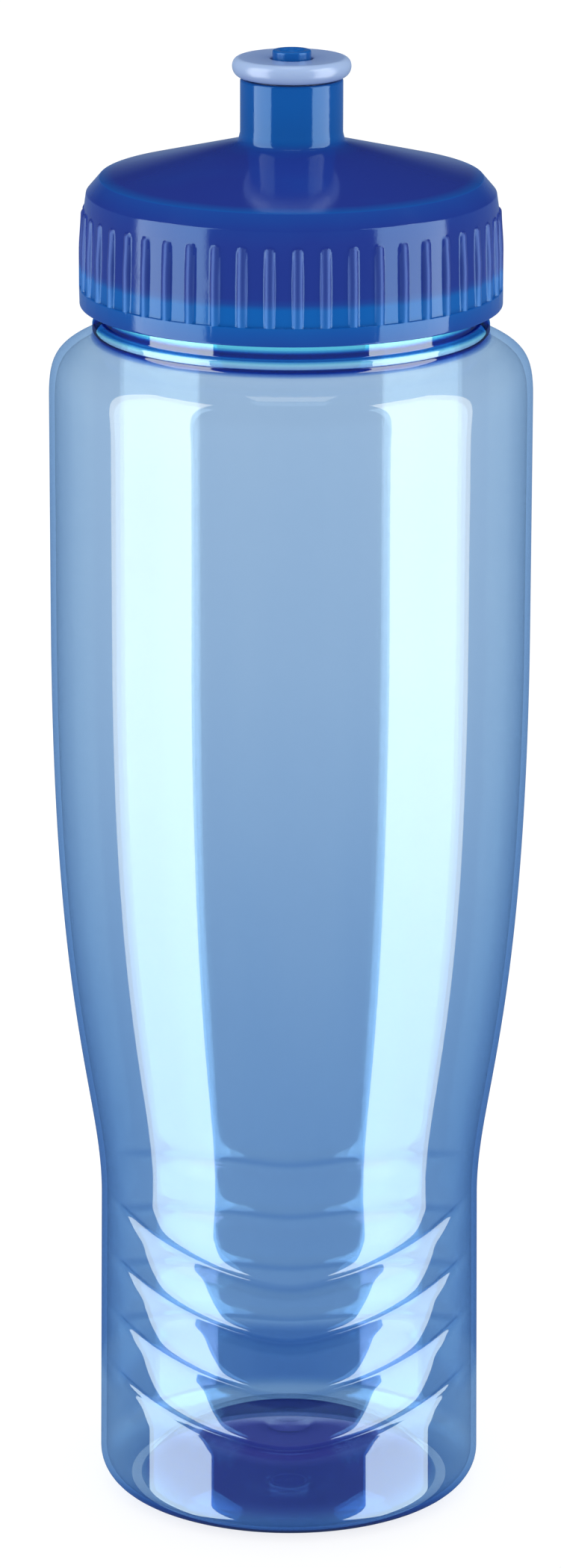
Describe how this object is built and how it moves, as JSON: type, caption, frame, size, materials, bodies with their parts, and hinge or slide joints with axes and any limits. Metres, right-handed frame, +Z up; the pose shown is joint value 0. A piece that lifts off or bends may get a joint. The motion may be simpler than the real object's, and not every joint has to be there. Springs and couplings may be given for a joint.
{
  "type": "sports squeeze bottle",
  "caption": "Clear blue sports bottle with a slim grooved grip, a ribbed screw lid and a push-pull drinking nozzle.",
  "frame": {"origin": "centre of the bottle's base, on the plane it stands on", "axes": "+Z up along the bottle's axis; the front, with its smile-shaped grip grooves, faces -Y; +X is to its right seen from the front"},
  "size_m": [0.0754, 0.0754, 0.2341],
  "materials": {
    "clear_blue_pet": "clear, glossy, tinted light blue",
    "deep_blue_polypropylene": "glossy, slightly translucent deep blue; satin on the ribs",
    "frosted_blue_nozzle": "soft, milky pale blue",
    "white_liner_foam": "matte foam"
  },
  "bodies": {
    "bottle": {"bottle": "clear_blue_pet"},
    "liner": {"seal_ring": "white_liner_foam"},
    "lid": {"lid": "deep_blue_polypropylene"},
    "nozzle": {"nozzle": "frosted_blue_nozzle"}
  },
  "joints": [
    {"name": "lid_rise", "type": "slide", "parent": "bottle", "child": "liner", "axis": [0, 0, 1], "range_m": [0, 0.00875]},
    {"name": "lid_turn", "type": "hinge", "parent": "liner", "child": "lid", "pos_m": [0, 0, 0.2113], "axis": [0, 0, 1], "range_deg": [0, 630]},
    {"name": "nozzle_pull", "type": "slide", "parent": "lid", "child": "nozzle", "axis": [0, 0, 1], "range_m": [0, 0.006]}
  ],
  "couplings": [
    {"joint": "lid_rise", "follows": "lid_turn", "m_per_rad": 0.00079577}
  ]
}
